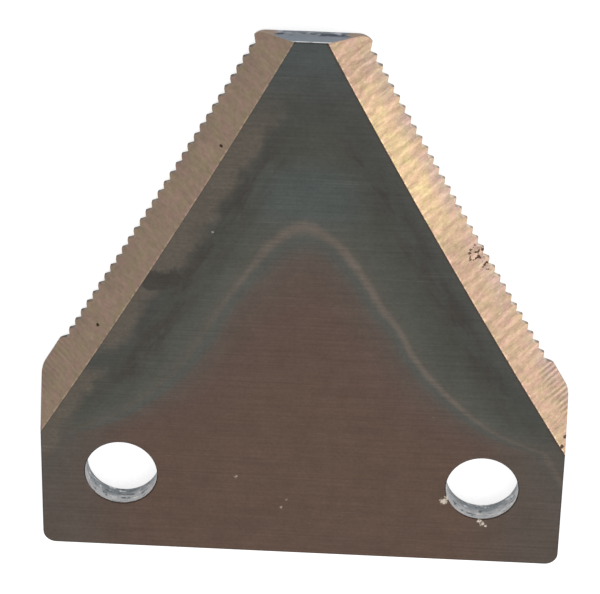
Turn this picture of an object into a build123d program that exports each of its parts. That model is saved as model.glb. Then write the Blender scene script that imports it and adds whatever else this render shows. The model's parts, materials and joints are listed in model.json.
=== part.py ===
from build123d import *
from math import asin, atan2, degrees, radians, tan
import os

# Feed mixer knife. It is one flat steel plate, a triangle with its point cut off, with two bolt
# holes near the base. Its two long sides are ground to a bevel on the front face, then notched
# from end to end, which leaves a row of pointed teeth along each cutting edge.
# Sizes are in millimetres. The plate lies on its back, z = 0, with the ground face up. The origin
# is midway between the bolt holes, on the back face, and the cut-off point lies towards +Y.

# Plate
plate_width = 101
thickness = 5
base_drop = 17
point_height = 94
point_width = 20.2
shoulder_height = 21
base_corner_radius = 2.5
point_corner_radius = 3
shoulder_radius = 6
edge_rounding = 0.2

# Bolt holes, on the line y = 0
hole_spacing = 70
hole_diameter = 14
rim_chamfer = 0.2

# Bevels: width in plan, the flat left under the edge, and how hollow the two ground lines are
bevel_width = 6.3
edge_land = 0.5
edge_hollow = 0.33
bevel_hollow = 0.55

# Teeth: neighbouring notches meet, so the tips stand a little inside the plain edge. The rows are
# notched one after the other, and they don't start level with each other.
tooth_pitch = 2.32
notch_angle = 100
tip_inset = 0.4
tooth_rounding = 0.35
first_notch_right = 3.2
first_notch_left = 2.45
plain_at_shoulder = 7.5

# The right cutting edge, from the point to the shoulder, as it is before grinding
side = plate_width / 2
edge_start = Vector(point_width / 2, point_height)
edge_end = Vector(side, shoulder_height)
edge_length = (edge_end - edge_start).length
inward = (edge_start - edge_end).normalized().rotate(Axis.Z, 90)

half_notch = tan(radians(notch_angle / 2))
notch_depth = tip_inset + tooth_pitch / 2 / half_notch


def ground_line(inset, hollow, run_out=0):
    """Shallow arc along the right edge, inset from it, its middle ground in by hollow more."""
    radius = edge_length**2 / (8 * hollow) + hollow / 2
    middle = (edge_start + edge_end) / 2 + inward * (inset + hollow)
    half_turn = degrees(asin((edge_length / 2 + run_out) / radius))
    middle_angle = degrees(atan2(inward.Y, inward.X))
    return CenterArc(middle - inward * radius, radius, middle_angle - half_turn, 2 * half_turn)


def is_inside(corner):
    """Whether a corner lies on the plate's side of the right edge."""
    return (Vector(corner) - edge_start).dot(inward) > 0


def notch_row(first_notch):
    """Overlapping triangles along the right edge, rounded where they end and where they meet."""
    edge = ground_line(0, edge_hollow)
    places = []
    for number in range(int((edge_length - first_notch - plain_at_shoulder) / tooth_pitch) + 1):
        along = first_notch + number * tooth_pitch
        turn = edge.tangent_angle_at(along, PositionMode.LENGTH)
        places.append(Location(edge.position_at(along, PositionMode.LENGTH), (0, 0, turn)))
    mouth = 2 * notch_depth * half_notch
    with BuildSketch() as row:
        with Locations(*places):
            Polygon((0, -notch_depth), (mouth, notch_depth), (-mouth, notch_depth), align=None)
        fillet(row.vertices().filter_by(is_inside), tooth_rounding)
    return row.sketch


right_notches = notch_row(first_notch_right)
left_notches = notch_row(first_notch_left).mirror(Plane.YZ)

# What grinding and notching take away
with BuildPart() as edge_waste:
    # Bevel: a wedge that runs out past both ends of the edge
    with BuildLine():
        bevel_line = ground_line(bevel_width, bevel_hollow, run_out=2 * bevel_width)
    with BuildSketch(Plane(bevel_line ^ 0)):
        reach = 2 * bevel_width
        fall = reach * (thickness - edge_land) / bevel_width
        above = 2 * thickness
        Polygon((0, thickness), (reach, thickness - fall), (reach, above), (0, above), align=None)
    sweep(path=bevel_line)
    mirror(about=Plane.YZ)

    # Notches
    extrude(right_notches, amount=2 * thickness, both=True)
    extrude(left_notches, amount=2 * thickness, both=True)

with BuildPart() as blade:
    # Blank: half the outline, mirrored
    with BuildSketch() as outline:
        with BuildLine():
            cutting_edge = ground_line(0, edge_hollow)
            Polyline(
                cutting_edge @ 1,
                (side, -base_drop),
                (0, -base_drop),
                (0, point_height),
                cutting_edge @ 0,
            )
        make_face()
        for corner, radius in (
            (cutting_edge @ 0, point_corner_radius),
            (cutting_edge @ 1, shoulder_radius),
            ((side, -base_drop), base_corner_radius),
        ):
            fillet(outline.vertices().sort_by_distance(corner)[0], radius)
        mirror(about=Plane.YZ)
    extrude(amount=thickness)
    levels = blade.edges().group_by(Axis.Z)
    fillet(levels[0] + levels[-1], edge_rounding)

    # Bolt holes
    with GridLocations(hole_spacing, 0, 2, 1):
        Hole(hole_diameter / 2)
    chamfer(blade.edges(Select.LAST).filter_by(GeomType.CIRCLE), rim_chamfer)

    # Cutting edges
    add(edge_waste.part, mode=Mode.SUBTRACT)

blade.part.label = "blade"

os.makedirs("parts", exist_ok=True)
export_step(blade.part, "parts/blade.step")
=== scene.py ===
import json
import math

import bpy
import numpy as np
from mathutils import Matrix, Vector
from mathutils.geometry import delaunay_2d_cdt


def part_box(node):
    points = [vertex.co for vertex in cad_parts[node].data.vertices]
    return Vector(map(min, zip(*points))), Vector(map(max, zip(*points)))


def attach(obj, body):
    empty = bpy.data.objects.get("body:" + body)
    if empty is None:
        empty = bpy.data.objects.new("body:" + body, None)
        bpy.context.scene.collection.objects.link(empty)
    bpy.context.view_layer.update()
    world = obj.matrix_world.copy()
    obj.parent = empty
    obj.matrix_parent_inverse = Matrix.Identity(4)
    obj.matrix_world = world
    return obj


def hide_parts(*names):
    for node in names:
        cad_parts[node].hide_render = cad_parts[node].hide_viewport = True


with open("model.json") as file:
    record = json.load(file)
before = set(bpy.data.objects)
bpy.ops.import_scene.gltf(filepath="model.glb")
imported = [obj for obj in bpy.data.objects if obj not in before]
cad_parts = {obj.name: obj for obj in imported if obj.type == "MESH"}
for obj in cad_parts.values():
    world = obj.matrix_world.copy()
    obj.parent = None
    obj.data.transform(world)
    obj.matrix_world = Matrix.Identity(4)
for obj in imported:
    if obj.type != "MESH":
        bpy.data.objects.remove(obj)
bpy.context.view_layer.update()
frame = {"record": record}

# Feed mixer knife: a flat steel plate, ground and notched along its two long sides. It lies on its
# back with the point towards +Y. Shapes are worked out in millimetres and made metres in the mesh.
MM = 0.001

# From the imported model
low, high = (np.array(corner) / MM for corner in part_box("blade"))
bores = [mount for mount in frame["record"]["mounts"] if mount["kind"] == "bore"]
SIDE = high[0]
BASE = low[1]
POINT_HEIGHT = high[1]
THICKNESS = high[2]
HOLE_X = abs(bores[0]["pos_m"][0]) / MM
HOLE_RADIUS = bores[0]["dims"]["r_mm"]

# Outline of the right half
POINT_HALF_WIDTH = 10.1
SHOULDER_HEIGHT = 21
POINT_CORNER = 3
SHOULDER_CORNER = 6
BASE_CORNER = 2.5
EDGE_ROUNDING = 0.2
RIM_CHAMFER = 0.2

# Ground bevel
BEVEL_WIDTH = 6.3
EDGE_LAND = 0.5
EDGE_HOLLOW = 0.33
BEVEL_HOLLOW = 0.55
ARRIS_ROUNDING = 0.12
MARK_HEIGHT = 0.055

# Teeth
TOOTH_PITCH = 2.32
NOTCH_ANGLE = math.radians(100)
TIP_INSET = 0.4
TOOTH_ROUNDING = 0.35
FIRST_NOTCH = {"right": 3.2, "left": 2.45}
PLAIN_AT_SHOULDER = 7.5
SPACING_SPREAD = 0.05
DEPTH_SPREAD = 0.05

# How finely the plate is meshed
FINE_STEP = 0.3
COARSE_STEP = 2.5
ARC_STEPS = 10
HOLE_STEPS = 96
WALL_ROWS = 4
ROUNDING_ROWS = (0.02, 0.06, 0.12, 0.2, 0.4)
ARRIS_ROWS = (-0.6, -0.3, -0.15, -0.05, 0.05, 0.15, 0.3)
CLEAR_OF_EDGE = 0.14
RUN_OUT = 14

EDGE_START = np.array([POINT_HALF_WIDTH, POINT_HEIGHT])
EDGE_END = np.array([SIDE, SHOULDER_HEIGHT])
EDGE_LENGTH = np.linalg.norm(EDGE_END - EDGE_START)
ALONG = (EDGE_END - EDGE_START) / EDGE_LENGTH
OUTWARD = np.array([-ALONG[1], ALONG[0]])
BEVEL_SLOPE = (THICKNESS - EDGE_LAND) / BEVEL_WIDTH
HALF_NOTCH = math.tan(NOTCH_ANGLE / 2)
NOTCH_DEPTH = TIP_INSET + TOOTH_PITCH / 2 / HALF_NOTCH


def bow(s):
    """How far into its hollow a ground line is at s: 0 at its ends and 1 midway."""
    return 4 * (s / EDGE_LENGTH) * (1 - s / EDGE_LENGTH)


def plan(s, w):
    """Place in plan: s along the right cutting edge from the point, w outside its chord."""
    return EDGE_START + np.multiply.outer(s, ALONG) + np.multiply.outer(w, OUTWARD)


def past_arris(points):
    """How far each place lies on the bevel's side of the ground line, on either half."""
    from_start = np.abs(points * [1, 0]) + points * [0, 1] - EDGE_START
    s, w = from_start @ ALONG, from_start @ OUTWARD
    return w + BEVEL_WIDTH + BEVEL_HOLLOW * bow(s)


def rounded_corner(corner, arriving, leaving, radius):
    """Points round a right-hand corner of the outline, between its two lines."""
    turn = math.acos(np.dot(arriving, leaving))
    start = corner - arriving * radius * math.tan(turn / 2)
    right = np.array([arriving[1], -arriving[0]])
    angles = np.linspace(0, turn, ARC_STEPS + 1)
    ahead = np.multiply.outer(np.sin(angles), arriving)
    across = np.multiply.outer(1 - np.cos(angles), right)
    return start + radius * (ahead + across)


def straight(start, end, step):
    """Evenly spaced points between two others, without those two."""
    count = max(2, round(np.linalg.norm(end - start) / step))
    t = np.arange(1, count) / count
    return start + np.multiply.outer(t, end - start)


def blank_outline():
    """The plate's outline before notching, clockwise from the middle of the point."""
    right, down = np.array([1.0, 0.0]), np.array([0.0, -1.0])
    tangent = math.atan(4 * EDGE_HOLLOW / EDGE_LENGTH)
    from_point = ALONG * math.cos(tangent) - OUTWARD * math.sin(tangent)
    to_shoulder = ALONG * math.cos(tangent) + OUTWARD * math.sin(tangent)
    point = rounded_corner(EDGE_START, right, from_point, POINT_CORNER)
    shoulder = rounded_corner(EDGE_END, to_shoulder, down, SHOULDER_CORNER)
    base = rounded_corner(np.array([SIDE, BASE]), down, -right, BASE_CORNER)
    ends = [(corner - EDGE_START) @ ALONG for corner in (point[-1], shoulder[0])]
    s = np.linspace(*ends, round((ends[1] - ends[0]) / FINE_STEP))[1:-1]
    top_middle, base_middle = np.array([0, POINT_HEIGHT]), np.array([0, BASE])
    half = np.concatenate([
        straight(top_middle, point[0], FINE_STEP),
        point,
        plan(s, -EDGE_HOLLOW * bow(s)),
        shoulder,
        straight(shoulder[-1], base[0], FINE_STEP),
        base,
        straight(base[-1], base_middle, FINE_STEP),
    ])
    return np.concatenate([[top_middle], half, [base_middle], half[::-1] * [-1, 1]])


def circle(centre_x, radius):
    """Points round a bolt hole, or round its rim."""
    turns = np.linspace(0, 2 * math.pi, HOLE_STEPS, endpoint=False)
    return np.stack([centre_x + radius * np.cos(turns), radius * np.sin(turns)], -1)


def inset(loop, depth):
    """A clockwise outline moved into the plate."""
    run = np.roll(loop, -1, axis=0) - np.roll(loop, 1, axis=0)
    run /= np.linalg.norm(run, axis=1, keepdims=True)
    return loop + depth * np.stack([run[:, 1], -run[:, 0]], -1)


def distance_to(points, loop):
    """Distance in plan from each point to a closed outline."""
    nearest = np.full(len(points), np.inf)
    for start, end in zip(loop, np.roll(loop, -1, axis=0)):
        run = end - start
        t = np.clip((points - start) @ run / (run @ run), 0, 1)
        gap = np.linalg.norm(points - start - np.multiply.outer(t, run), axis=1)
        nearest = np.minimum(nearest, gap)
    return nearest


def inner_points(outline):
    """Points inside the outline: close together on bevels and roundings, sparse elsewhere."""
    s = np.arange(-RUN_OUT, EDGE_LENGTH + RUN_OUT, FINE_STEP)
    arris = -BEVEL_WIDTH - BEVEL_HOLLOW * bow(s)
    rows = ARRIS_ROWS + tuple(np.arange(2 * FINE_STEP, BEVEL_WIDTH + BEVEL_HOLLOW, FINE_STEP))
    bevel = np.concatenate([plan(s, arris + row) for row in rows])
    bevel = bevel[bevel[:, 0] > 0]
    coarse = np.stack(np.meshgrid(
        np.arange(-SIDE, SIDE, COARSE_STEP), np.arange(BASE, POINT_HEIGHT, COARSE_STEP)
    ), -1).reshape(-1, 2)
    coarse = coarse[past_arris(coarse) < -COARSE_STEP / 2]
    free = np.concatenate([bevel, bevel * [-1, 1], coarse])
    off_holes = np.min([np.abs(np.hypot(free[:, 0] - x, free[:, 1])) for x in (-HOLE_X, HOLE_X)], 0)
    clear = (distance_to(free, outline) > CLEAR_OF_EDGE) & (off_holes > HOLE_RADIUS + COARSE_STEP / 2)
    free = free[clear]
    edge_rows = np.concatenate([inset(outline, depth) for depth in ROUNDING_ROWS])
    edge_rows = edge_rows[past_arris(edge_rows) < -FINE_STEP]
    rims = [circle(x, HOLE_RADIUS + row) for x in (-HOLE_X, HOLE_X) for row in ROUNDING_ROWS]
    return np.concatenate([free, edge_rows, *rims])


def rounding(depth):
    """How much the rounded outer rim falls away at some depth inside it."""
    missing = np.clip(EDGE_ROUNDING - depth, 0, EDGE_ROUNDING)
    return EDGE_ROUNDING - np.sqrt(EDGE_ROUNDING**2 - missing**2)


def cutter_marks(points, past):
    """Depth of the shallow marks across the bevels: in step with the notches, and wavy inside."""
    from_start = np.abs(points * [1, 0]) + points * [0, 1] - EDGE_START
    s = from_start @ ALONG
    first = np.where(points[:, 0] > 0, FIRST_NOTCH["right"], FIRST_NOTCH["left"])
    t = past + 3 * (points[:, 0] > 0)
    wander = 0.9 * np.sin(0.37 * s + 1.1 * t) + 0.6 * np.sin(1.9 * t - 0.83 * s)
    wander *= np.clip((BEVEL_WIDTH - past) / 3, 0, 1.4)
    coarse = np.cos(2 * math.pi * (s - first) / TOOTH_PITCH + wander)
    fine = np.sin(2 * math.pi * s / 1.05 + 0.8 * wander)
    share = np.clip((EDGE_LENGTH - PLAIN_AT_SHOULDER - s) / 5, 0.1, 0.8)
    waves = share * coarse + (1 - share) * fine
    fade = np.clip((past - 0.15) / 0.5, 0, 1)
    return MARK_HEIGHT * fade * (1 + waves) / 2


def plate_in_plan():
    """The plate seen from the front: points, triangles and the outlines that bound them."""
    outline = blank_outline()
    loops = [outline[::-1], circle(-HOLE_X, HOLE_RADIUS), circle(HOLE_X, HOLE_RADIUS)]
    starts = np.cumsum([0] + [len(loop) for loop in loops])
    faces = [list(range(a, b)) for a, b in zip(starts, starts[1:])]
    points = np.concatenate([*loops, inner_points(outline)])
    found = delaunay_2d_cdt([tuple(point) for point in points], [], faces, 0, 1e-5, True)
    triangles = [corners for corners, source in zip(found[2], found[5]) if source == [0]]
    used, triangles = np.unique(triangles, return_inverse=True)
    points = np.array([tuple(point) for point in found[0]])[used]
    return points, triangles.reshape(-1, 3), loops


def wall_quads(triangles, count):
    """Points on the plate's boundary, and rows of quads there that join the back to the front."""
    edges = np.concatenate([triangles[:, [0, 1]], triangles[:, [1, 2]], triangles[:, [2, 0]]])
    twins = edges[:, 1] * count + edges[:, 0]
    rim = edges[~np.isin(edges[:, 0] * count + edges[:, 1], twins)]
    place = np.zeros(count, int)
    place[rim[:, 0]] = np.arange(len(rim))
    rows = [2 * count + row * len(rim) + place[rim] for row in range(WALL_ROWS - 1)]
    rows = [count + rim, *rows, rim]
    return rim[:, 0], np.concatenate([
        np.column_stack([below, above[:, ::-1]]) for below, above in zip(rows, rows[1:])
    ])


def blank_mesh():
    """The ground plate before it is notched, as a closed mesh."""
    points, triangles, loops = plate_in_plan()
    to_hole = np.min([distance_to(points, loop) for loop in loops[1:]], axis=0)
    fall = rounding(distance_to(points, loops[0])) + np.clip(RIM_CHAMFER - to_hole, 0, RIM_CHAMFER)
    past = past_arris(points)
    ground = BEVEL_SLOPE * (past + np.sqrt(past**2 + ARRIS_ROUNDING**2)) / 2
    ground += cutter_marks(points, past)
    front = np.column_stack([points, THICKNESS - np.maximum(fall, ground)])
    back = np.column_stack([points, fall])
    rim, walls = wall_quads(triangles, len(points))
    shares = np.arange(1, WALL_ROWS) / WALL_ROWS
    middle = [back[rim] + (front[rim] - back[rim]) * share for share in shares]
    faces = [*triangles.tolist(), *(triangles[:, ::-1] + len(points)).tolist(), *walls.tolist()]
    mesh = bpy.data.meshes.new("blank")
    mesh.from_pydata(np.concatenate([front, back, *middle]) * MM, [], faces)
    mesh.update()
    return mesh


class Nodes:
    """Adds nodes to one tree, with each input given as a value or as another node's output."""

    def __init__(self, tree):
        self.tree = tree

    def add(self, kind, inputs=(), **settings):
        """A node with its settings made; inputs are pairs of a socket's name or number and a value."""
        node = self.tree.nodes.new(kind)
        for name, value in settings.items():
            setattr(node, name, value)
        for key, value in inputs:
            if isinstance(value, bpy.types.NodeSocket):
                self.tree.links.new(value, node.inputs[key])
            else:
                node.inputs[key].default_value = value
        return node

    def math(self, operation, *values):
        return self.add("ShaderNodeMath", enumerate(values), operation=operation).outputs[0]

    def vector(self, operation, *values):
        node = self.add("ShaderNodeVectorMath", enumerate(values), operation=operation)
        return node.outputs["Value" if operation in ("DOT_PRODUCT", "DISTANCE") else "Vector"]

    def scaled(self, vector, factor):
        inputs = [(0, vector), ("Scale", factor)]
        return self.add("ShaderNodeVectorMath", inputs, operation="SCALE").outputs[0]

    def noise(self, place, scale, detail=3.0, roughness=0.5):
        inputs = [("Vector", place), ("Scale", scale), ("Detail", detail), ("Roughness", roughness)]
        return self.add("ShaderNodeTexNoise", inputs).outputs["Fac"]

    def fade(self, value, start, end):
        """0 before start, 1 past end, smooth between; start may be the larger."""
        inputs = [("Value", value), ("From Min", start), ("From Max", end)]
        node = self.add("ShaderNodeMapRange", inputs, interpolation_type="SMOOTHSTEP")
        return node.outputs["Result"]

    def band(self, value, centre, half_width):
        """1 at the centre, 0 from half_width away."""
        away = self.math("ABSOLUTE", self.math("SUBTRACT", value, centre))
        return self.fade(away, half_width, 0.0)

    def ramp(self, value, stops):
        """Colour by value, from pairs of a position and a colour."""
        node = self.add("ShaderNodeValToRGB", [(0, value)])
        elements = node.color_ramp.elements
        while len(elements) < len(stops):
            elements.new(0.5)
        for element, (position, colour) in zip(elements, stops):
            element.position = position
            element.color = (*colour, 1)
        return node.outputs[0]

    def mixed(self, share, colour, other, blend="MIX"):
        """The first colour where share is 0, and the other where it is 1."""
        inputs = [(0, share), (6, colour), (7, other)]
        node = self.add("ShaderNodeMix", inputs, data_type="RGBA", blend_type=blend)
        return node.outputs[2]

    def spread(self, place, across, along, up):
        """A place with each axis scaled on its own, which stretches a pattern."""
        return self.vector("MULTIPLY", place, (across, along, up))

    def random(self, spread, number, seed):
        lowest = self.math("MULTIPLY", spread, -1.0)
        inputs = [(2, lowest), (3, spread), ("ID", number), ("Seed", seed)]
        return self.add("FunctionNodeRandomValue", inputs, data_type="FLOAT").outputs[1]


def notching_tree():
    """Cuts a row of notches along one edge of a plate."""
    tree = bpy.data.node_groups.new("notched edge", "GeometryNodeTree")
    sockets = tree.interface
    sockets.new_socket("Plate", in_out="OUTPUT", socket_type="NodeSocketGeometry")
    for kind, names in (
        ("Geometry", ("Blank",)),
        ("Vector", ("Edge Start", "Edge Middle", "Edge End")),
        ("Float", ("Side", "First Notch", "Pitch", "Depth", "Tip Inset", "Mouth", "Rounding")),
        ("Float", ("Height", "Spacing Spread", "Depth Spread")),
        ("Int", ("Notches", "Seed")),
        ("Material", ("Steel",)),
    ):
        for name in names:
            sockets.new_socket(name, in_out="INPUT", socket_type="NodeSocket" + kind)
    nodes = Nodes(tree)
    given = nodes.add("NodeGroupInput").outputs

    # One corner for each notch and each tip, and one past either end
    edge = nodes.add("GeometryNodeCurveQuadraticBezier", [
        ("Resolution", 64), ("Start", given["Edge Start"]), ("Middle", given["Edge Middle"]),
        ("End", given["Edge End"]),
    ]).outputs[0]
    last = nodes.math("MULTIPLY", given["Notches"], 2.0)
    corners = nodes.add("GeometryNodeResampleCurve", [
        ("Curve", nodes.add("GeometryNodeCurvePrimitiveLine").outputs[0]),
        ("Count", nodes.math("ADD", last, 1.0)),
    ], mode="COUNT").outputs[0]
    number = nodes.add("GeometryNodeInputIndex").outputs[0]
    kept = nodes.math("MAXIMUM", nodes.math("MINIMUM", number, nodes.math("SUBTRACT", last, 1.0)), 1.0)
    past_end = nodes.math("SUBTRACT", number, kept)
    is_notch = nodes.math("MODULO", kept, 2.0)

    # Where each corner stands along the edge and out from it
    half_pitches = nodes.math("MULTIPLY", nodes.math("SUBTRACT", kept, 1.0), given["Pitch"])
    along = nodes.math("ADD", nodes.math("MULTIPLY", half_pitches, 0.5), given["First Notch"])
    along = nodes.math("ADD", along, nodes.random(given["Spacing Spread"], number, given["Seed"]))
    other_seed = nodes.math("ADD", given["Seed"], 1.0)
    depth = nodes.math("SUBTRACT", given["Depth"], given["Tip Inset"])
    depth = nodes.math("ADD", nodes.math("MULTIPLY", depth, is_notch), given["Tip Inset"])
    depth = nodes.math("ADD", depth, nodes.random(given["Depth Spread"], number, other_seed))
    is_past = nodes.math("ABSOLUTE", past_end)
    out = nodes.math("MULTIPLY", is_past, nodes.math("ADD", given["Depth"], given["Depth"]))
    out = nodes.math("SUBTRACT", out, depth)
    sideways = nodes.math("MULTIPLY", past_end, given["Mouth"])
    sample = nodes.add("GeometryNodeSampleCurve", [("Curves", edge), ("Length", along)], mode="LENGTH")
    up = nodes.add("ShaderNodeCombineXYZ", [("Z", given["Side"])]).outputs[0]
    outward = nodes.vector("CROSS_PRODUCT", up, sample.outputs["Tangent"])
    place = nodes.vector("ADD", sample.outputs["Position"], nodes.scaled(outward, out))
    place = nodes.vector("ADD", place, nodes.scaled(sample.outputs["Tangent"], sideways))
    zigzag = nodes.add("GeometryNodeSetPosition", [("Geometry", corners), ("Position", place)])
    closed = nodes.add("GeometryNodeSetSplineCyclic", [("Geometry", zigzag.outputs[0]), ("Cyclic", True)])
    rounded = nodes.add("GeometryNodeFilletCurve", [
        ("Curve", closed.outputs[0]), ("Count", 3), ("Radius", given["Rounding"]),
        ("Limit Radius", True),
    ], mode="POLY").outputs[0]

    # A closed cutter of that outline
    sheet = nodes.add("GeometryNodeFillCurve", [("Curve", rounded)], mode="NGONS").outputs[0]
    low = nodes.add("ShaderNodeCombineXYZ", [("Z", nodes.math("MULTIPLY", given["Height"], -0.5))])
    sheet = nodes.add("GeometryNodeTransform", [("Geometry", sheet), ("Translation", low.outputs[0])])
    rise = nodes.add("ShaderNodeCombineXYZ", [("Z", given["Height"])]).outputs[0]
    raised = nodes.add("GeometryNodeExtrudeMesh", [
        ("Mesh", sheet.outputs[0]), ("Offset", rise), ("Offset Scale", 1.0), ("Individual", False),
    ], mode="FACES")
    under = nodes.add("GeometryNodeFlipFaces", [("Mesh", sheet.outputs[0])])
    joined = nodes.add("GeometryNodeJoinGeometry")
    for part in (under, raised):
        tree.links.new(part.outputs[0], joined.inputs[0])
    cutter = nodes.add("GeometryNodeMergeByDistance", [
        ("Geometry", joined.outputs[0]), ("Distance", 1e-7),
    ]).outputs[0]

    # The plate without it
    cut = nodes.add("GeometryNodeMeshBoolean", [
        ("Mesh 1", given["Blank"]), ("Mesh 2", cutter),
    ], operation="DIFFERENCE", solver="MANIFOLD").outputs[0]
    real = nodes.add("GeometryNodeRealizeInstances", [("Geometry", cut)]).outputs[0]
    steel = nodes.add("GeometryNodeSetMaterial", [("Geometry", real), ("Material", given["Steel"])])
    nodes.add("NodeGroupOutput", [("Plate", steel.outputs[0])])
    return tree


def notched_mesh(blank, steel):
    """The blank's mesh with both rows of notches cut, as a plain mesh."""
    blade = bpy.data.objects.new("blank", blank)
    bpy.context.scene.collection.objects.link(blade)
    tree = notching_tree()
    middle = (EDGE_START + EDGE_END) / 2 - OUTWARD * 2 * EDGE_HOLLOW
    for name, side, seed in (("right", 1.0, 5), ("left", -1.0, 12)):
        span = EDGE_LENGTH - FIRST_NOTCH[name] - PLAIN_AT_SHOULDER
        given = {
            "Edge Start": (side * EDGE_START[0] * MM, EDGE_START[1] * MM, 0.0),
            "Edge Middle": (side * middle[0] * MM, middle[1] * MM, 0.0),
            "Edge End": (side * EDGE_END[0] * MM, EDGE_END[1] * MM, 0.0),
            "Side": side,
            "First Notch": FIRST_NOTCH[name] * MM,
            "Pitch": TOOTH_PITCH * MM,
            "Depth": NOTCH_DEPTH * MM,
            "Tip Inset": TIP_INSET * MM,
            "Mouth": 2 * NOTCH_DEPTH * HALF_NOTCH * MM,
            "Rounding": TOOTH_ROUNDING * MM,
            "Height": 4 * THICKNESS * MM,
            "Spacing Spread": SPACING_SPREAD * MM,
            "Depth Spread": DEPTH_SPREAD * MM,
            "Notches": int(span / TOOTH_PITCH) + 1,
            "Seed": seed,
            "Steel": steel,
        }
        modifier = blade.modifiers.new(name + " notches", "NODES")
        modifier.node_group = tree
        for socket in tree.interface.items_tree:
            if socket.name in given:
                modifier[socket.identifier] = given[socket.name]
    evaluated = blade.evaluated_get(bpy.context.evaluated_depsgraph_get())
    mesh = bpy.data.meshes.new_from_object(evaluated)
    blade.modifiers.clear()
    bpy.data.objects.remove(blade)
    return mesh


# Materials

# Heat colours by distance in from the ground edges, as a share of 34 mm
HEAT_COLOURS = (
    (0.0, (0.084, 0.084, 0.076)),
    (0.1, (0.072, 0.073, 0.066)),
    (0.25, (0.080, 0.080, 0.067)),
    (0.36, (0.090, 0.091, 0.079)),
    (0.42, (0.098, 0.096, 0.081)),
    (0.465, (0.108, 0.099, 0.084)),
    (0.5, (0.096, 0.098, 0.088)),
    (0.56, (0.112, 0.088, 0.073)),
    (0.72, (0.120, 0.079, 0.064)),
    (1.0, (0.124, 0.080, 0.060)),
)
BRIGHT_SPECKS = (
    (-12.7, 0.4, 0.5), (-3.8, -6.3, 0.4), (-2.7, -4.4, 0.3), (-17.3, 54.6, 0.35), (24.9, 16.1, 0.25),
    (27.7, -3.2, 0.9), (28.3, -2.5, 0.6), (35.4, -8.1, 0.6), (36.0, -8.6, 0.4), (34.8, -7.5, 0.6),
)
DARK_DOTS = (
    (-16.0, 72.1, 0.4), (-39.2, 32.4, 0.4), (49.7, 10.5, 0.45), (50.3, 12.2, 0.4), (49.9, 8.5, 0.4),
)


def new_material(name):
    """An empty material and its nodes, with the place on the piece in millimetres."""
    material = bpy.data.materials.new(name)
    material.use_nodes = True
    material.node_tree.nodes.clear()
    nodes = Nodes(material.node_tree)
    place = nodes.scaled(nodes.add("ShaderNodeTexCoord").outputs["Object"], 1 / MM)
    return material, nodes, place


def ground_place(nodes, place, side):
    """Distance along the edge on one side, outside its chord, and inside its ground line."""
    from_start = nodes.vector("SUBTRACT", nodes.vector("MULTIPLY", place, (side, 1, 0)), (*EDGE_START, 0))
    along = nodes.vector("DOT_PRODUCT", from_start, (*ALONG, 0))
    outside = nodes.vector("DOT_PRODUCT", from_start, (*OUTWARD, 0))
    share = nodes.math("MULTIPLY", along, 1 / EDGE_LENGTH)
    hollow = nodes.math("MULTIPLY", share, nodes.math("SUBTRACT", 1.0, share))
    past = nodes.math("ADD", outside, nodes.math("MULTIPLY_ADD", hollow, 4 * BEVEL_HOLLOW, BEVEL_WIDTH))
    return along, outside, nodes.math("MULTIPLY", past, -1.0)


def spots(nodes, place, ragged, marks):
    """1 inside any of the marks, each given as x, y and radius on the front."""
    flat = nodes.vector("MULTIPLY", place, (1, 1, 0))
    found = 0.0
    for x, y, radius in marks:
        gap = nodes.vector("DISTANCE", flat, (x, y, 0))
        gap = nodes.math("ADD", gap, ragged)
        found = nodes.math("MAXIMUM", found, nodes.fade(gap, radius, 0.55 * radius))
    return found


def finish_steel(nodes, colour, roughness, bump, metallic=1.0):
    """The surface of a steel part; bump is a height in millimetres."""
    height = nodes.add("ShaderNodeBump", [("Height", bump), ("Distance", MM), ("Strength", 1.0)])
    steel = nodes.add("ShaderNodeBsdfPrincipled", [
        ("Base Color", colour), ("Roughness", roughness), ("Metallic", metallic),
        ("Normal", height.outputs[0]),
    ])
    nodes.add("ShaderNodeOutputMaterial", [("Surface", steel.outputs[0])])


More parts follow.
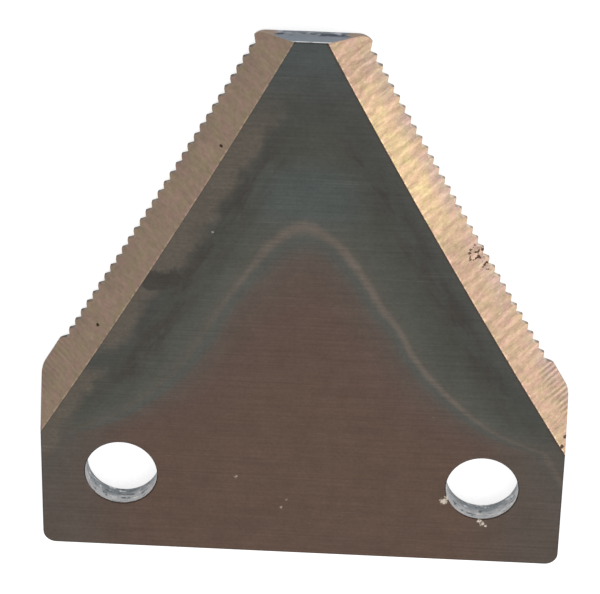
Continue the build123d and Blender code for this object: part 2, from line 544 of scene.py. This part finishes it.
def heat_tinted_face():
    """Dark rolled face: heat colours follow the ground edges, under fine rolling lines."""
    material, nodes, place = new_material("heat tinted face")
    x, y, z = nodes.add("ShaderNodeSeparateXYZ", [(0, place)]).outputs
    along_right, _, from_right = ground_place(nodes, place, 1)
    along_left, _, from_left = ground_place(nodes, place, -1)
    slow = nodes.noise(place, 0.07)
    blotch = nodes.noise(place, 0.3, 5.0, 0.6)
    grain = nodes.noise(place, 1.4, 4.0, 0.7)
    lines = nodes.noise(nodes.spread(place, 0.05, 2.4, 1.0), 1.0, 5.0, 0.6)

    # Heat colours by distance from the ground edges; near the holes they spread to the sides
    heat = nodes.math("SMOOTH_MIN", from_right, from_left, 26.0)
    flare = nodes.math("EXPONENT", nodes.math("MULTIPLY", nodes.math("SUBTRACT", y, 25.0), -0.154))
    heat = nodes.math("ADD", heat, nodes.math("MINIMUM", flare, 12.0))
    heat = nodes.math("ADD", heat, nodes.math("MULTIPLY_ADD", slow, 3.0, -1.5))
    colour = nodes.ramp(nodes.math("DIVIDE", heat, 34.0), HEAT_COLOURS)
    sides = nodes.math("MULTIPLY", nodes.fade(nodes.math("ABSOLUTE", x), 28.0, 46.0), nodes.fade(y, 16.0, 4.0))
    colour = nodes.mixed(nodes.math("MULTIPLY", sides, 0.8), colour, (0.104, 0.086, 0.073, 1))
    flat = nodes.spread(place, 0.7, 1.0, 0.0)
    blue = nodes.fade(nodes.vector("DISTANCE", flat, (0, 62.5, 0)), 10.5, 3.0)
    blue = nodes.math("MAXIMUM", blue, nodes.fade(y, 80.0, 92.0))
    colour = nodes.mixed(nodes.math("MULTIPLY", blue, 0.6), colour, (0.085, 0.102, 0.100, 1))
    line = nodes.band(heat, 15.8, 1.15)
    reach = nodes.math("ADD", x, nodes.math("MULTIPLY", y, 0.6))
    line = nodes.math("MULTIPLY", line, nodes.fade(reach, -12.0, 36.0))
    line = nodes.math("MULTIPLY", line, nodes.math("MULTIPLY_ADD", nodes.fade(x, 38.0, 28.0), 0.65, 0.35))
    line = nodes.math("MULTIPLY", line, nodes.math("MULTIPLY_ADD", lines, 1.2, 0.25))
    colour = nodes.mixed(line, colour, (0.160, 0.134, 0.112, 1))

    # Pale film along the left edge, with dark soot past it, and soot along the right edge
    ragged = nodes.math("MULTIPLY_ADD", blotch, 5.0, -2.5)
    ragged = nodes.math("ADD", ragged, nodes.math("MULTIPLY_ADD", grain, 1.4, -0.7))
    narrower = nodes.math("MULTIPLY_ADD", nodes.fade(y, 47.0, 41.0), 1.5, ragged)
    film = nodes.fade(nodes.math("ADD", from_left, narrower), 6.3, 3.6)
    upper = nodes.fade(nodes.math("ADD", y, ragged), 26.0, 30.0)
    film = nodes.math("MULTIPLY", film, nodes.math("MAXIMUM", upper, nodes.fade(y, 25.5, 21.5)))
    film = nodes.math("MULTIPLY", film, nodes.fade(y, 86.0, 74.0))
    gap = spots(nodes, place, ragged, [(-28.9, 43.4, 2.6), (-27.0, 43.8, 2.8), (-25.0, 44.3, 2.8)])
    film = nodes.math("MULTIPLY", film, nodes.math("MULTIPLY_ADD", gap, -0.9, 1.0))
    film = nodes.math("MULTIPLY", film, nodes.math("MULTIPLY_ADD", grain, 0.8, 0.4))
    colour = nodes.mixed(film, colour, (0.130, 0.110, 0.088, 1))
    soot = gap
    for along, inside, middle, low, high in (
        (along_left, from_left, 7.6, 12.0, 80.0), (along_right, from_right, 4.4, 10.0, 82.0)
    ):
        streaked = nodes.add("ShaderNodeCombineXYZ", [
            ("X", nodes.math("MULTIPLY", along, 0.3)), ("Y", inside), ("Z", middle),
        ]).outputs[0]
        strip = nodes.fade(nodes.noise(streaked, 0.4, 4.0, 0.6), 0.38, 0.62)
        strip = nodes.math("MULTIPLY", strip, nodes.band(inside, middle, 0.2 * middle + 3.6))
        strip = nodes.math("MULTIPLY", strip, nodes.fade(y, low, low + 14.0))
        strip = nodes.math("MULTIPLY", strip, nodes.fade(y, high, high - 14.0))
        soot = nodes.math("MAXIMUM", soot, strip)
    colour = nodes.mixed(nodes.math("MULTIPLY", soot, 0.6), colour, (0.057, 0.046, 0.040, 1))

    # Rolling lines, grain, a dark rim beside the right edge and a few bare specks
    scratch = nodes.fade(nodes.noise(nodes.spread(place, 0.07, 4.0, 1.0), 1.0, 3.0), 0.64, 0.76)
    scuffed = spots(nodes, place, 0.0, [(22.5, 25.5, 10.0), (0.0, 62.0, 14.0)])
    scratch = nodes.math("MULTIPLY", scratch, nodes.math("MAXIMUM", nodes.fade(slow, 0.45, 0.65), scuffed))
    colour = nodes.mixed(nodes.math("MULTIPLY", scratch, 0.4), colour, (0.20, 0.175, 0.155, 1))
    shade = nodes.math("MULTIPLY_ADD", lines, 0.55, 0.725)
    shade = nodes.math("MULTIPLY", shade, nodes.math("MULTIPLY_ADD", grain, 0.5, 0.75))
    colour = nodes.scaled(colour, shade)
    rim = nodes.math("MULTIPLY", nodes.band(from_right, 0.15, 0.45), nodes.fade(grain, 0.35, 0.6))
    colour = nodes.mixed(nodes.math("MULTIPLY", rim, 0.7), colour, (0.07, 0.045, 0.03, 1))
    is_front = nodes.fade(z, 2.0, 3.0)
    ragged = nodes.math("MULTIPLY_ADD", nodes.noise(place, 2.2, 3.0, 0.7), 2.0, -0.9)
    specks = nodes.math("MULTIPLY", spots(nodes, place, ragged, BRIGHT_SPECKS), is_front)
    chips = nodes.math("LESS_THAN", nodes.vector("DISTANCE", place, (HOLE_X, 0, THICKNESS)), 12.0)
    specks = nodes.math("MULTIPLY", specks, nodes.math("MULTIPLY_ADD", chips, 0.6, 0.4))
    colour = nodes.mixed(specks, colour, (0.66, 0.58, 0.49, 1))
    height = nodes.math("MULTIPLY", nodes.math("ADD", lines, grain), 0.006)
    finish_steel(nodes, colour, nodes.math("MULTIPLY_ADD", blotch, 0.2, 0.34), height, 0.85)
    return material


def ground_bevel():
    """Bare ground steel: tan and peach, streaked across by the cutter and pitted near the teeth."""
    material, nodes, place = new_material("ground bevel")
    parts = nodes.add("ShaderNodeSeparateXYZ", [(0, place)]).outputs
    along, outside, inside = ground_place(nodes, nodes.vector("ABSOLUTE", place), 1)
    on_right = nodes.fade(parts["X"], -0.5, 0.5)
    streak_place = nodes.add("ShaderNodeCombineXYZ", [
        ("X", along), ("Y", nodes.math("MULTIPLY", inside, 0.22)), ("Z", nodes.math("MULTIPLY", on_right, 9.0)),
    ]).outputs[0]
    streaks = nodes.noise(streak_place, 0.85, 3.0, 0.6)
    fine = nodes.noise(streak_place, 2.6, 3.0, 0.6)
    cloud = nodes.noise(place, 0.16)
    grain = nodes.noise(place, 1.3, 4.0, 0.7)

    # Dark bands in step with the notches, with closer ones by the shoulder
    first = nodes.mixed(on_right, (*[FIRST_NOTCH["left"]] * 3, 1), (*[FIRST_NOTCH["right"]] * 3, 1))
    wobble = nodes.math("MULTIPLY_ADD", nodes.noise(place, 0.4, 2.0), 9.0, -4.5)
    wobble = nodes.math("MULTIPLY", wobble, nodes.fade(outside, -0.8, -4.5))
    turns = nodes.math("MULTIPLY", nodes.math("SUBTRACT", along, first), 2 * math.pi / TOOTH_PITCH)
    coarse = nodes.math("COSINE", nodes.math("ADD", turns, wobble))
    close = nodes.math("SINE", nodes.math("MULTIPLY_ADD", along, 2 * math.pi / 1.05, wobble))
    by_shoulder = nodes.fade(along, EDGE_LENGTH - 9.5, EDGE_LENGTH - 6.5)
    close_by_edge = nodes.fade(outside, -4.2, -2.0)
    close = nodes.math("MULTIPLY", close, close_by_edge)
    bands = nodes.mixed(by_shoulder, coarse, close)
    bands = nodes.math("MULTIPLY_ADD", bands, 0.5, 0.5)
    strength = nodes.math("MULTIPLY_ADD", by_shoulder, nodes.math("MULTIPLY", close_by_edge, 0.9), 0.7)
    bands = nodes.math("MULTIPLY", bands, nodes.math("MULTIPLY", strength, nodes.fade(streaks, 0.2, 0.6)))

    # Colour of each side, brightest along the upper part of the right one
    bright = nodes.math("MULTIPLY", nodes.fade(along, 46.0, 32.0), nodes.fade(along, 3.0, 17.0))
    bright = nodes.math("MULTIPLY", bright, nodes.fade(outside, -0.5, -4.0))
    right = nodes.mixed(bright, (0.515, 0.358, 0.248, 1), (0.66, 0.482, 0.292, 1))
    colour = nodes.mixed(on_right, (0.565, 0.418, 0.308, 1), right)
    pink = nodes.math("MULTIPLY", nodes.fade(outside, -4.6, -1.2), nodes.fade(cloud, 0.35, 0.6))
    colour = nodes.mixed(pink, colour, (0.51, 0.375, 0.295, 1))
    depth = nodes.math("MULTIPLY_ADD", on_right, 0.5, 0.5)
    shade = nodes.math("ADD", nodes.math("MULTIPLY", streaks, 0.8), nodes.math("MULTIPLY", fine, 0.7))
    shade = nodes.math("ADD", shade, nodes.math("MULTIPLY_ADD", grain, 1.0, -1.19))
    shade = nodes.math("SUBTRACT", shade, nodes.math("MULTIPLY", bands, 0.22))
    shade = nodes.math("MULTIPLY_ADD", shade, depth, 1.0)
    arris = nodes.math("MULTIPLY", nodes.band(inside, -0.1, 0.24), nodes.fade(grain, 0.4, 0.6))
    shade = nodes.math("MULTIPLY", shade, nodes.math("MULTIPLY_ADD", arris, 0.45, 1.0))
    colour = nodes.scaled(colour, shade)
    tint = nodes.fade(nodes.noise(place, 0.5, 3.0), 0.35, 0.65)
    tint = nodes.mixed(tint, (0.97, 1.02, 0.95, 1), (1.04, 0.98, 1.05, 1))
    colour = nodes.mixed(1.0, colour, tint, blend="MULTIPLY")
    crests = nodes.math("MULTIPLY", nodes.fade(grain, 0.6, 0.7), nodes.fade(bands, 0.5, 0.2))
    crests = nodes.math("MULTIPLY", crests, on_right)
    colour = nodes.mixed(nodes.math("MULTIPLY", crests, 0.5), colour, (0.80, 0.66, 0.48, 1))
    ragged = nodes.math("MULTIPLY_ADD", grain, 1.0, -0.5)
    torn = spots(nodes, place, nodes.math("MULTIPLY", ragged, 2.0), [(31.4, 50.6, 1.9), (33.6, 48.7, 2.1)])
    pits = nodes.math("MULTIPLY", nodes.fade(nodes.noise(place, 1.5, 2.0), 0.54, 0.62), torn)
    pits = nodes.math("MAXIMUM", pits, spots(nodes, place, nodes.math("MULTIPLY", ragged, 0.5), DARK_DOTS))
    colour = nodes.mixed(pits, colour, (0.09, 0.055, 0.035, 1))
    height = nodes.math("MULTIPLY", nodes.math("ADD", streaks, nodes.math("MULTIPLY", grain, 0.7)), 0.06)
    height = nodes.math("SUBTRACT", height, nodes.math("MULTIPLY", pits, 0.1))
    rough = nodes.math("MULTIPLY_ADD", bands, 0.06, nodes.math("MULTIPLY_ADD", grain, 0.2, 0.31))
    finish_steel(nodes, colour, rough, height)
    return material


def cut_edge():
    """Bluish sawn sides: blotched by the back, a bare line by the front, tan round the point."""
    material, nodes, place = new_material("cut edge")
    parts = nodes.add("ShaderNodeSeparateXYZ", [(0, place)]).outputs
    cloud = nodes.noise(place, 0.5, 4.0)
    blotch = nodes.noise(nodes.spread(place, 0.4, 1.0, 0.7), 1.2, 2.0)
    colour = nodes.mixed(cloud, (0.14, 0.165, 0.19, 1), (0.24, 0.265, 0.3, 1))
    pale = nodes.math("MULTIPLY", nodes.fade(blotch, 0.52, 0.6), nodes.fade(parts["Z"], 1.6, 0.8))
    dark = nodes.math("MULTIPLY", nodes.fade(blotch, 0.52, 0.44), nodes.band(parts["Z"], 1.5, 1.0))
    colour = nodes.mixed(nodes.math("MULTIPLY", pale, 0.8), colour, (0.46, 0.48, 0.52, 1))
    colour = nodes.mixed(dark, colour, (0.025, 0.03, 0.055, 1))
    bare = nodes.math("MULTIPLY", nodes.fade(parts["Z"], 4.35, 4.65), nodes.fade(cloud, 0.3, 0.5))
    colour = nodes.mixed(bare, colour, (0.7, 0.7, 0.7, 1))
    to_side = nodes.math("ADD", nodes.math("ABSOLUTE", parts["X"]), nodes.math("MULTIPLY", blotch, 2.0))
    corners = nodes.math("MULTIPLY", nodes.fade(to_side, 6.6, 8.4), nodes.fade(parts["Y"], 84.0, 90.0))
    colour = nodes.mixed(corners, colour, (0.30, 0.225, 0.175, 1))
    height = nodes.math("MULTIPLY", blotch, 0.06)
    finish_steel(nodes, colour, nodes.math("MULTIPLY_ADD", cloud, 0.2, 0.35), height, 0.9)
    return material


def bored_wall():
    """Bare steel inside the bolt holes, grey at the back and paler in front, with torn specks."""
    material, nodes, place = new_material("bored wall")
    x, y, z = nodes.add("ShaderNodeSeparateXYZ", [(0, place)]).outputs
    torn = nodes.noise(nodes.spread(place, 0.6, 0.6, 1.5), 0.8, 4.0, 0.7)
    worn = nodes.math("MULTIPLY_ADD", nodes.noise(place, 0.3, 3.0), 5.0, nodes.math("ADD", z, -5.0))
    colour = nodes.mixed(nodes.fade(worn, -1.5, 1.5), (0.19, 0.21, 0.225, 1), (0.43, 0.43, 0.435, 1))
    colour = nodes.mixed(nodes.fade(torn, 0.55, 0.66), colour, (0.66, 0.65, 0.65, 1))
    colour = nodes.mixed(nodes.fade(torn, 0.45, 0.36), colour, (0.07, 0.08, 0.09, 1))
    height = nodes.math("MULTIPLY", torn, 0.08)
    finish_steel(nodes, colour, nodes.math("MULTIPLY_ADD", torn, 0.25, 0.3), height, 0.9)
    return material


def notch_flank():
    """Notched steel: grey tan between the teeth, darker at their tips."""
    material, nodes, place = new_material("notch flank")
    outside = ground_place(nodes, nodes.vector("ABSOLUTE", place), 1)[1]
    cloud = nodes.noise(place, 0.9, 4.0, 0.6)
    colour = nodes.mixed(nodes.fade(cloud, 0.35, 0.65), (0.4, 0.32, 0.26, 1), (0.72, 0.6, 0.48, 1))
    tips = nodes.fade(nodes.math("ADD", outside, cloud), -0.75, -0.25)
    colour = nodes.mixed(nodes.math("MULTIPLY", tips, 0.75), colour, (0.11, 0.10, 0.10, 1))
    x = nodes.add("ShaderNodeSeparateXYZ", [(0, place)]).outputs["X"]
    colour = nodes.scaled(colour, nodes.math("MULTIPLY_ADD", nodes.fade(x, 0.5, -0.5), -0.6, 1.0))
    height = nodes.math("MULTIPLY", cloud, 0.04)
    finish_steel(nodes, colour, nodes.math("MULTIPLY_ADD", cloud, 0.2, 0.35), height)
    return material


def share_out(mesh, materials):
    """Gives every face of the notched plate the material of its region."""
    count = len(mesh.polygons)
    middle, normal = np.zeros(3 * count), np.zeros(3 * count)
    mesh.polygons.foreach_get("center", middle)
    mesh.polygons.foreach_get("normal", normal)
    middle, normal = middle.reshape(-1, 3) / MM, normal.reshape(-1, 3)
    plan_middle = middle[:, :2]
    from_hole = np.hypot(np.abs(plan_middle[:, 0]) - HOLE_X, plan_middle[:, 1])
    from_start = np.abs(plan_middle * [1, 0]) + plan_middle * [0, 1] - EDGE_START
    s = from_start @ ALONG
    is_wall = np.abs(normal[:, 2]) < 0.2
    has_notches = (s > TOOTH_PITCH / 4) & (s < EDGE_LENGTH - PLAIN_AT_SHOULDER + TOOTH_PITCH)
    is_flank = is_wall & has_notches & (from_start @ OUTWARD < -TIP_INSET * 0.9)
    is_bore = is_wall & (from_hole < HOLE_RADIUS + EDGE_ROUNDING)
    is_ground = (past_arris(plan_middle) > 0) & (normal[:, 2] > 0.2)
    names = list(materials)
    index = np.full(count, names.index("face"))
    for name, where in (
        ("bevel", is_ground), ("cut edge", is_wall), ("notch", is_flank), ("bore", is_bore)
    ):
        index[where] = names.index(name)
    mesh.materials.clear()
    for material in materials.values():
        mesh.materials.append(material)
    mesh.polygons.foreach_set("material_index", index)
    mesh.polygons.foreach_set("use_smooth", np.ones(count, bool))
    mesh.set_sharp_from_angle(angle=math.radians(30))
    mesh.update()


# The knife

steels = {
    "face": heat_tinted_face(),
    "bevel": ground_bevel(),
    "cut edge": cut_edge(),
    "bore": bored_wall(),
    "notch": notch_flank(),
}
knife_mesh = notched_mesh(blank_mesh(), steels["notch"])
knife_mesh.name = "knife"
share_out(knife_mesh, steels)
knife = bpy.data.objects.new("knife", knife_mesh)
bpy.context.scene.collection.objects.link(knife)
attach(knife, "root")
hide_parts("blade")


# Floor, lamps and camera


def make_floor(half_size):
    """A pale floor that renders white and keeps the knife's soft shadow."""
    mesh = bpy.data.meshes.new("floor")
    corners = [(-half_size, -half_size, 0), (half_size, -half_size, 0)]
    corners += [(half_size, half_size, 0), (-half_size, half_size, 0)]
    mesh.from_pydata([(x, y, -0.00002) for x, y, z in corners], [], [(0, 1, 2, 3)])
    material = bpy.data.materials.new("pale floor")
    material.use_nodes = True
    material.node_tree.nodes.clear()
    nodes = Nodes(material.node_tree)
    rays = nodes.add("ShaderNodeLightPath").outputs
    seen = nodes.math("MAXIMUM", rays["Is Camera Ray"], rays["Is Glossy Ray"])
    matt = nodes.add("ShaderNodeBsdfDiffuse", [("Color", (0.85, 0.85, 0.85, 1))])
    glow = nodes.add("ShaderNodeEmission", [("Strength", nodes.math("MULTIPLY", seen, 0.7))])
    both = nodes.add("ShaderNodeAddShader", [(0, matt.outputs[0]), (1, glow.outputs[0])])
    nodes.add("ShaderNodeOutputMaterial", [("Surface", both.outputs[0])])
    mesh.materials.append(material)
    floor = bpy.data.objects.new("floor", mesh)
    bpy.context.scene.collection.objects.link(floor)
    return floor


def soft_lamp(name, towards, distance, size, radiance):
    """A square lamp that faces the knife from the given direction."""
    light = bpy.data.lights.new(name, "AREA")
    light.size = size
    light.energy = radiance * 4 * size**2
    lamp = bpy.data.objects.new(name, light)
    bpy.context.scene.collection.objects.link(lamp)
    direction = Vector(towards).normalized()
    lamp.location = direction * distance + Vector((0, 0.03, 0))
    lamp.rotation_euler = direction.to_track_quat("Z", "Y").to_euler()
    return lamp


floor = make_floor(3)
soft_lamp("lamp on the right", (0.84, -0.03, 0.54), 0.8, 0.5, 1.35)
soft_lamp("lamp over the near side", (-0.03, -0.51, 0.86), 0.9, 0.8, 0.7)

world = bpy.data.worlds.new("room")
bpy.context.scene.world = world
world.use_nodes = True
world.node_tree.nodes.clear()
room = Nodes(world.node_tree)
camera_ray = room.add("ShaderNodeLightPath").outputs["Is Camera Ray"]
level = room.math("ADD", room.math("MULTIPLY", camera_ray, 0.6), 0.4)
sky = room.add("ShaderNodeBackground", [("Color", (1, 1, 1, 1)), ("Strength", level)])
room.add("ShaderNodeOutputWorld", [("Surface", sky.outputs[0])])

camera_data = bpy.data.cameras.new("camera")
camera_data.sensor_width = 36
camera_data.lens = 182.67
camera = bpy.data.objects.new("camera", camera_data)
bpy.context.scene.collection.objects.link(camera)
turned = Matrix.Rotation(0.0412, 4, "Y") @ Matrix.Rotation(-0.5358, 4, "X")
turned = turned @ Matrix.Rotation(0.0221, 4, "Z")
camera.matrix_world = turned @ Matrix.Translation((-0.0004753, 0.0331072, 0.59367))
bpy.context.scene.camera = camera
bpy.context.scene.view_settings.view_transform = "Standard"
